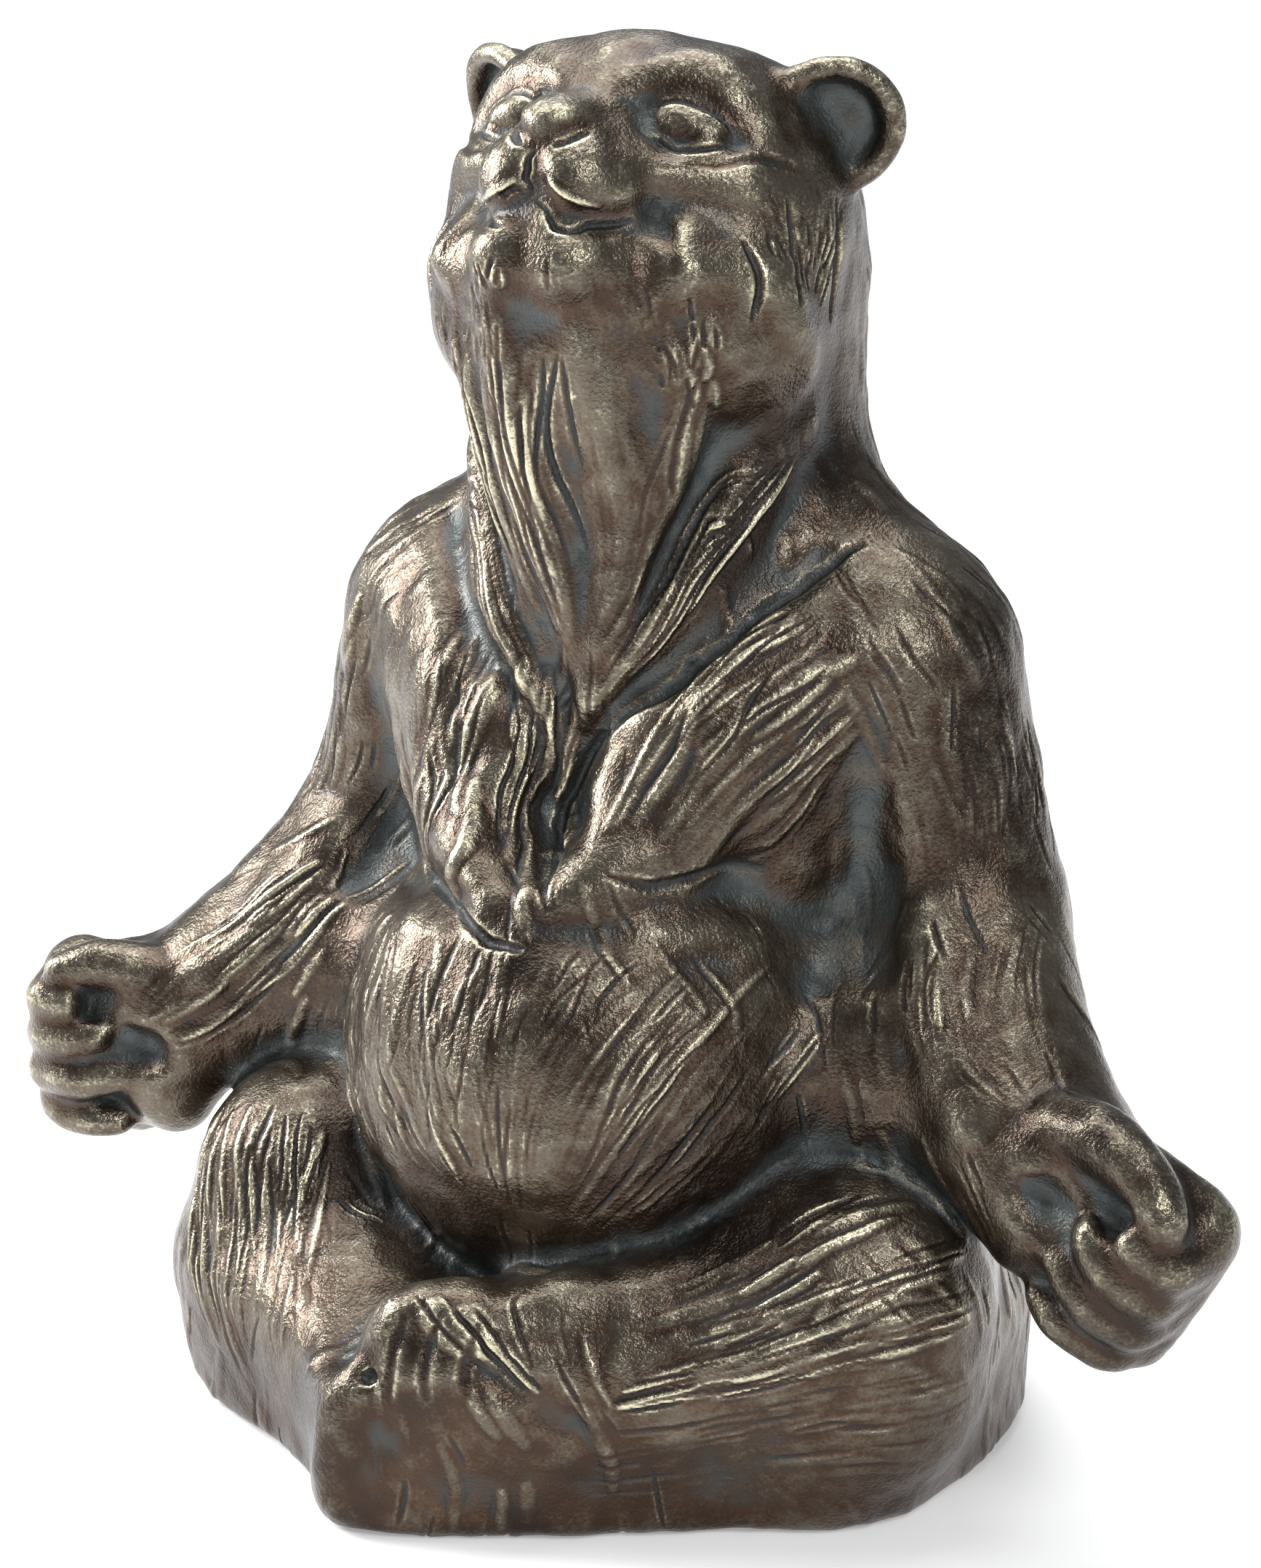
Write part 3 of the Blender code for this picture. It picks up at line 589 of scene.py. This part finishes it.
# The floor is a plain white sheet that runs on behind the statue. To the eye and in the metal's
# reflections it is as white far off as it is near, and only the statue's shadow darkens it.
bpy.ops.object.select_all(action="DESELECT")
bpy.ops.mesh.primitive_plane_add(size=40, location=(0, 0, 0))
floor = bpy.context.object
floor.name = "pale_floor"
paper = bpy.data.materials.new("white_paper")
paper.use_nodes = True
sheet = paper.node_tree.nodes["Principled BSDF"]
sheet.inputs["Base Color"].default_value = (0.86, 0.86, 0.86, 1)
sheet.inputs["Roughness"].default_value = 0.9
sheet.inputs["Specular IOR Level"].default_value = 0.1
sheet.inputs["Emission Strength"].default_value = 1.0
light_path = paper.node_tree.nodes.new("ShaderNodeLightPath")
paper_tone = Shade(paper.node_tree)
camera_ray = Shade(paper.node_tree, light_path.outputs["Is Camera Ray"])
glossy_ray = Shade(paper.node_tree, light_path.outputs["Is Glossy Ray"])
transmission_ray = Shade(paper.node_tree, light_path.outputs["Is Transmission Ray"])
seen = camera_ray + glossy_ray + transmission_ray
spot = paper_tone.node("TexCoord", {}, {}, "Object")
distance = paper_tone.node("VectorMath", {"operation": "LENGTH"}, {0: spot}, "Value")
glow = (seen * (distance.between(0.3, 1.8) * 0.48 + 0.3)).mixed((0, 0, 0, 1), (1, 1, 1, 1))
paper.node_tree.links.new(glow.output, sheet.inputs["Emission Color"])
floor.data.materials.append(paper)


# Soft studio light: a softbox at the upper left, a large one overhead, a smaller one above and in
# front on the right, and an even pale room.
def softbox(name, place, size, power):
    bpy.ops.object.light_add(type="AREA", location=place)
    lamp = bpy.context.object
    lamp.name = name
    lamp.data.size = size
    lamp.data.energy = power
    lamp.rotation_euler = (CAMERA_TARGET - Vector(place)).to_track_quat("-Z", "Y").to_euler()


softbox("side_light", (-1.18, -0.32, 0.72), 0.6, 26)
softbox("top_light", (-0.25, 0.15, 1.35), 1.2, 23)
softbox("front_light", (1.00, -0.80, 1.10), 0.6, 12)
world = bpy.data.worlds.new("pale_room")
world.use_nodes = True
world.node_tree.nodes["Background"].inputs["Color"].default_value = (0.9, 0.93, 0.97, 1)
world.node_tree.nodes["Background"].inputs["Strength"].default_value = 0.34
bpy.context.scene.world = world

bpy.context.scene.view_settings.view_transform = "Standard"
